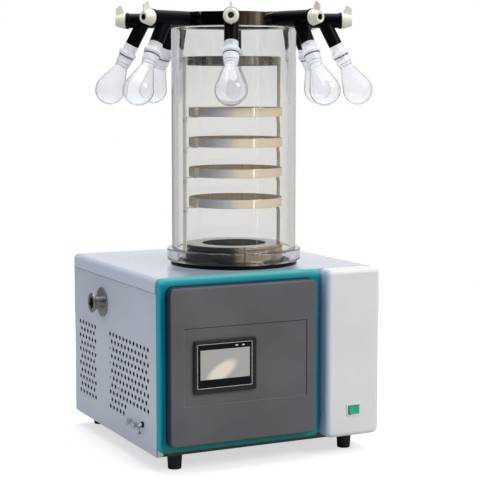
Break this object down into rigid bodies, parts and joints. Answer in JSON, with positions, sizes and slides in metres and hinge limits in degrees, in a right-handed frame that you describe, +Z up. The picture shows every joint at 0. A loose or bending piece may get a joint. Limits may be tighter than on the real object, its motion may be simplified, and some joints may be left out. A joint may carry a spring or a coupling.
{
  "type": "freeze dryer",
  "caption": "Benchtop laboratory freeze dryer: sheet-steel cabinet with a moulded teal front, clear drying chamber with stacked trays, and a valve manifold with hanging flasks.",
  "frame": {"origin": "on the table under the middle of the object's outline", "axes": "+Z up along the chamber; +X to the right as seen from the front; +Y from the control front to the back"},
  "size_m": [0.5388, 0.5652, 0.895],
  "materials": {
    "panel_paint": "semi-gloss light grey powder coat",
    "column_paint": "satin off-white",
    "dark_paint": "matte dark grey",
    "teal": "semi-gloss teal",
    "grey_plastic": "fine matte grey",
    "black_plastic": "glossy black",
    "light_plastic": "smooth light grey",
    "green_plastic": "smooth green",
    "ivory_plastic": "smooth ivory",
    "rubber": "black rubber",
    "stainless": "polished stainless steel",
    "aluminium": "plain finned aluminium",
    "enamel": "black enamel",
    "foam": "open insulating foam",
    "acrylic": "clear polished acrylic",
    "glass": "clear glass, frosted at the neck"
  },
  "bodies": {
    "cabinet": {"base_pan": "dark_paint", "left_side_panel": "panel_paint", "right_side_panel": "panel_paint", "rear_panel": "panel_paint", "top_cover": "panel_paint", "foot_front_left": "rubber", "foot_front_right": "rubber", "foot_rear_left": "rubber", "foot_rear_right": "rubber", "front_bezel": "teal", "front_panel": "grey_plastic", "column_cover": "column_paint", "touch_screen": "black_plastic", "switch_housing": "light_plastic", "cold_trap": "stainless", "trap_foam": "foam", "vacuum_port": "stainless", "drain_valve_body": "stainless", "air_valve_body": "stainless", "drain_spout": "light_plastic", "seat_gasket": "rubber", "chamber_tube": "acrylic", "tray_rack": "stainless", "manifold_drum": "stainless", "compressor": "enamel", "condenser": "aluminium", "electrical_box": "panel_paint", "power_inlet": "black_plastic", "tray_1": "stainless", "tray_2": "stainless", "tray_3": "stainless", "tray_4": "stainless", "valve_body_1": "rubber", "flask_1": "glass", "valve_body_2": "rubber", "flask_2": "glass", "valve_body_3": "rubber", "flask_3": "glass", "valve_body_4": "rubber", "flask_4": "glass", "valve_body_5": "rubber", "flask_5": "glass", "valve_body_6": "rubber", "flask_6": "glass", "valve_body_7": "rubber", "flask_7": "glass", "valve_body_8": "rubber", "flask_8": "glass"},
    "switch_rocker": {"switch_rocker": "green_plastic"},
    "drain_valve_knob": {"drain_valve_knob": "stainless"},
    "air_valve_knob": {"air_valve_knob": "stainless"},
    "fan_rotor": {"fan_rotor": "black_plastic"},
    "valve_plug_1": {"valve_plug_1": "ivory_plastic"},
    "valve_plug_2": {"valve_plug_2": "ivory_plastic"},
    "valve_plug_3": {"valve_plug_3": "ivory_plastic"},
    "valve_plug_4": {"valve_plug_4": "ivory_plastic"},
    "valve_plug_5": {"valve_plug_5": "ivory_plastic"},
    "valve_plug_6": {"valve_plug_6": "ivory_plastic"},
    "valve_plug_7": {"valve_plug_7": "ivory_plastic"},
    "valve_plug_8": {"valve_plug_8": "ivory_plastic"}
  },
  "joints": [
    {"name": "valve_plug_1_turn", "type": "hinge", "parent": "cabinet", "child": "valve_plug_1", "pos_m": [-0.0908, -0.19142, 0.864], "axis": [-0.454, -0.891, 0], "range_deg": [0, 180]},
    {"name": "valve_plug_2_turn", "type": "hinge", "parent": "cabinet", "child": "valve_plug_2", "pos_m": [0.0618, -0.20343, 0.864], "axis": [0.309, -0.9511, 0], "range_deg": [0, 180]},
    {"name": "valve_plug_3_turn", "type": "hinge", "parent": "cabinet", "child": "valve_plug_3", "pos_m": [0.1782, -0.10402, 0.864], "axis": [0.891, -0.454, 0], "range_deg": [0, 180]},
    {"name": "valve_plug_4_turn", "type": "hinge", "parent": "cabinet", "child": "valve_plug_4", "pos_m": [0.19021, 0.04858, 0.864], "axis": [0.9511, 0.309, 0], "range_deg": [0, 180]},
    {"name": "valve_plug_5_turn", "type": "hinge", "parent": "cabinet", "child": "valve_plug_5", "pos_m": [0.0908, 0.16498, 0.864], "axis": [0.454, 0.891, 0], "range_deg": [0, 180]},
    {"name": "valve_plug_6_turn", "type": "hinge", "parent": "cabinet", "child": "valve_plug_6", "pos_m": [-0.0618, 0.17699, 0.864], "axis": [-0.309, 0.9511, 0], "range_deg": [0, 180]},
    {"name": "valve_plug_7_turn", "type": "hinge", "parent": "cabinet", "child": "valve_plug_7", "pos_m": [-0.1782, 0.07758, 0.864], "axis": [-0.891, 0.454, 0], "range_deg": [0, 180]},
    {"name": "valve_plug_8_turn", "type": "hinge", "parent": "cabinet", "child": "valve_plug_8", "pos_m": [-0.19021, -0.07503, 0.864], "axis": [-0.9511, -0.309, 0], "range_deg": [0, 180]},
    {"name": "rocker_tip", "type": "hinge", "parent": "cabinet", "child": "switch_rocker", "pos_m": [0.1685, -0.21022, 0.091], "axis": [0, 0, 1], "range_deg": [-18, 0]},
    {"name": "drain_valve_knob_turn", "type": "hinge", "parent": "cabinet", "child": "drain_valve_knob", "pos_m": [-0.249, -0.04722, 0.075], "axis": [1, 0, 0], "range_deg": [0, 360]},
    {"name": "air_valve_knob_turn", "type": "hinge", "parent": "cabinet", "child": "air_valve_knob", "pos_m": [-0.249, -0.08022, 0.075], "axis": [1, 0, 0], "range_deg": [0, 360]},
    {"name": "fan_spin", "type": "hinge", "parent": "cabinet", "child": "fan_rotor", "pos_m": [-0.177, 0.20078, 0.107], "axis": [1, 0, 0], "continuous": true}
  ]
}
